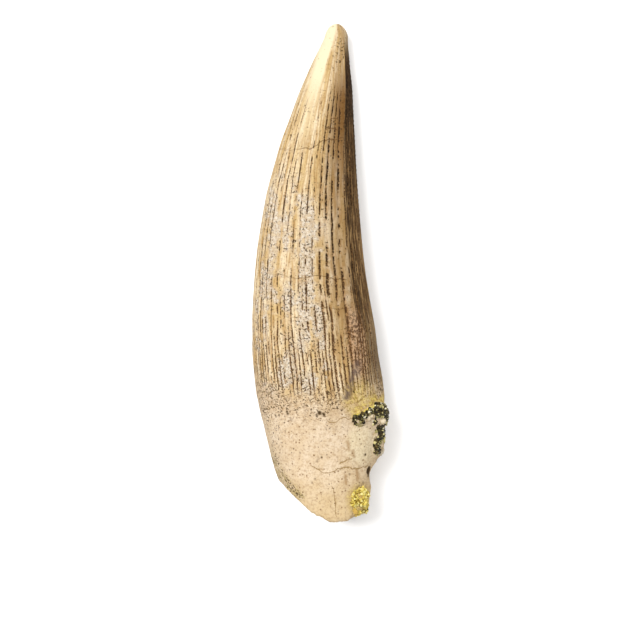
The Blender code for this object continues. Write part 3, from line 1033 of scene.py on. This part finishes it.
# %% Set the chips
CHIPS = (  # across, along, how deep below the surface, half sizes, turn
    (8.9, 19.6, 0.25, (0.55, 0.45, 0.4), 20), (11.7, 19.2, 0.5, (0.6, 0.55, 0.5), -25),
    (11.4, 13.6, 1.3, (0.55, 1.2, 1.5), -8), (10.3, 16.6, 0.1, (0.65, 0.5, 0.5), 40),
    (11.4, 17.9, 0.5, (0.6, 0.8, 0.6), -20), (9.6, 20.1, 0.2, (0.5, 0.45, 0.4), 10),
)


def pale_chips():
    made = []
    for x, y, depth, halves, turn in CHIPS:
        place_of = (x * MM, root_end + y * MM, over_wall(x, y) - depth * MM)
        clear_selection()
        bpy.ops.mesh.primitive_ico_sphere_add(
            subdivisions=4, radius=MM, location=place_of, rotation=(0, 0, math.radians(turn)), scale=halves
        )
        made.append(bpy.context.object)
    chips = join_all("upper_crust_chips", made)
    bpy.ops.object.transform_apply(location=True, rotation=True, scale=True)
    roughen(chips, 1.3, 0.45, 95)
    roughen(chips, 0.4, 0.12, 96)
    return chips


chips = pale_chips()

# %% [markdown]
# ## The crusts' paint
#
# The dark crust is nearly black with olive and cream grains, and yellow on the side towards the crown.
# The lower one is sulphur yellow with dark pits and ochre at its foot. Dark olive at its lower right rim is
# painted shade on the side of its lumps turned from the light. A ramp with hard steps picks a tone for each
# grain from its random number.


# %% Mix the crusts
def stepped(tree, value, steps):
    """A tone for each range of the value: steps are (start, tone)."""
    ramp = node(tree, "ValToRGB", {0: value})
    ramp.color_ramp.interpolation = "CONSTANT"
    elements = ramp.color_ramp.elements
    for index, (start, colour) in enumerate(steps):
        element = elements[index] if index < 2 else elements.new(start)
        element.position = start
        element.color = colour
    return ramp.outputs[0]


def crust_material(name, steps, bed_low, bed_high, spots, gloss):
    """Steps tone the grains, and noise takes the bed from its low to its high tone.

    Each spot is (across, along, reach, tone).
    """
    material, tree, shader = new_material(name)
    way = node(tree, "TexCoord").outputs["Object"]
    fine = noise_of(tree, way, 2200, 3.0)
    grain_tone = mark(tree, "grain_tone")
    is_grain = ease_between(tree, grain_tone, 0.0, 0.001)
    bed_tone = paint_over(tree, ease_between(tree, fine, 0.42, 0.58), bed_low, bed_high)
    colour = paint_over(tree, is_grain, bed_tone, stepped(tree, grain_tone, steps))
    for x, y, far, spot_tone in spots:
        centre = (x * MM, root_end + y * MM, over_wall(x, y))
        gap = node(tree, "VectorMath", {0: way, 1: centre}, operation="DISTANCE").outputs["Value"]
        ragged_gap = ease_between(tree, gap, far * MM, far * MM * 0.5)
        frayed_gap = sums(tree, "ADD", times(tree, ragged_gap, 0.6), times(tree, fine, 0.6))
        pick = ease_between(tree, frayed_gap, 0.58, 0.66)
        colour = paint_over(tree, pick, colour, spot_tone)
    tree.links.new(colour, shader.inputs["Base Color"])
    shader.inputs["Roughness"].default_value = gloss
    shader.inputs["Specular IOR Level"].default_value = 0.25
    shader.inputs["Specular Tint"].default_value = (1.0, 0.88, 0.6, 1)
    bump = node(tree, "Bump", {"Height": fine, "Strength": 0.6, "Distance": 0.0001})
    tree.links.new(bump.outputs[0], shader.inputs["Normal"])
    return material


dark_crust = crust_material(
    "dark_granular_crust",
    ((0.0, tone(20, 14, 6)), (0.44, tone(84, 76, 44)), (0.62, tone(166, 156, 100)),
     (0.78, tone(222, 208, 142)), (0.92, tone(250, 242, 208))),
    tone(16, 10, 4), tone(86, 70, 32),
    ((6.6, 21.0, 1.2, tone(226, 202, 92)), (8.0, 21.6, 1.2, tone(238, 212, 98)),
     (9.4, 22.4, 1.1, tone(226, 206, 112)), (11.6, 22.6, 1.1, tone(196, 182, 124)),
     (7.3, 18.6, 0.9, tone(168, 152, 104))),
    0.45,
)
yellow_crust = crust_material(
    "sulphur_yellow_crust",
    ((0.0, tone(246, 222, 112)), (0.48, tone(254, 240, 156)), (0.74, tone(218, 190, 76)),
     (0.90, tone(156, 126, 36))),
    tone(132, 104, 30), tone(238, 212, 104),
    # the two dark olive spots at the lower right rim are painted shade
    ((6.4, 1.7, 1.1, tone(220, 182, 92)), (8.4, 2.1, 1.5, tone(82, 74, 40)),
     (8.7, 3.1, 1.4, tone(96, 86, 42)), (6.4, 4.2, 0.7, tone(150, 122, 34)),
     (7.2, 2.9, 0.6, tone(104, 76, 20))),
    0.7,
)
chip_material, tree, shader = new_material("pale_chips")
way = node(tree, "TexCoord").outputs["Object"]
mottle = ease_between(tree, noise_of(tree, way, 900, 2.0), 0.4, 0.6)
chip_tone = paint_over(tree, mottle, tone(182, 158, 116), tone(230, 212, 178))
tree.links.new(chip_tone, shader.inputs["Base Color"])
shader.inputs["Roughness"].default_value = 0.55
for piece, material, crust in (
    (upper_bed, dark_crust, "upper_crust"), (upper_grains, dark_crust, "upper_crust"),
    (chips, chip_material, "upper_crust"),
    (lower_bed, yellow_crust, "lower_crust"), (lower_grains, yellow_crust, "lower_crust"),
):
    piece.data.materials.append(material)
    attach(piece, "root")
    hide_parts(crust)

# %% [markdown]
# ## Floor, light and camera
#
# The tooth lies on a plain pale table. The light is soft and comes mostly from above, a little from the
# left, so the relief shows without hard shadows. The camera looks straight down.

# %% Lay the floor
bpy.ops.mesh.primitive_plane_add(size=8, location=(0, 0, 0))
floor = bpy.context.object
floor.name = "floor"
floor_material, tree, shader = new_material("pale_table")
shader.inputs["Base Color"].default_value = (0.82, 0.82, 0.82, 1)
shader.inputs["Roughness"].default_value = 0.8
floor.data.materials.append(floor_material)


# %% [markdown]
# ## The lights
#
# Two wide suns light the table evenly as far as the eye can see, so no edge of a light shows on it. The
# stronger one comes from the tip's side, from the left, and leaves the keel's flank in shade. The sky is
# dim overhead, so that grooves stay dark, and bright in a band above the table's end, so that low views
# have a white backdrop.

# %% Hang the lights
def soft_light(name, place, spread_degrees, power):
    bpy.ops.object.light_add(type="SUN", location=place)
    light = bpy.context.object
    light.name = name
    light.data.angle = math.radians(spread_degrees)
    light.data.energy = power
    light.rotation_euler = (-Vector(place)).to_track_quat("-Z", "Y").to_euler()


soft_light("window", (-0.24, 0.16, 0.56), 28, 3.9)
soft_light("overhead", (0.10, 0.10, 0.70), 44, 2.4)
world = bpy.data.worlds.new("studio")
world.use_nodes = True
tree = world.node_tree
sky_way = node(tree, "SeparateXYZ", {0: node(tree, "TexCoord").outputs["Generated"]}).outputs[2]
backdrop = tree.nodes["Background"]
backdrop.inputs["Color"].default_value = (1, 1, 1, 1)
tree.links.new(ease_between(tree, sky_way, 0.15, 0.3, 1.5, 0.26), backdrop.inputs["Strength"])
bpy.context.scene.world = world

# %% [markdown]
# ## The camera
#
# A long lens from straight above shows the tooth without distortion, upright and with its tip away from
# the viewer.

# %% Set the camera
FRAME_WIDTH = 0.1223
CAMERA_HEIGHT = 0.6
VIEW_DOWN = 0.0092  # the tooth sits above the middle of the frame
bpy.ops.object.camera_add(location=(-0.0002, -VIEW_DOWN, CAMERA_HEIGHT), rotation=(0, 0, 0))
camera = bpy.context.object
camera.data.sensor_width = 36
camera.data.lens = camera.data.sensor_width * (CAMERA_HEIGHT - 0.009) / FRAME_WIDTH
bpy.context.scene.camera = camera
bpy.context.scene.view_settings.view_transform = "Standard"
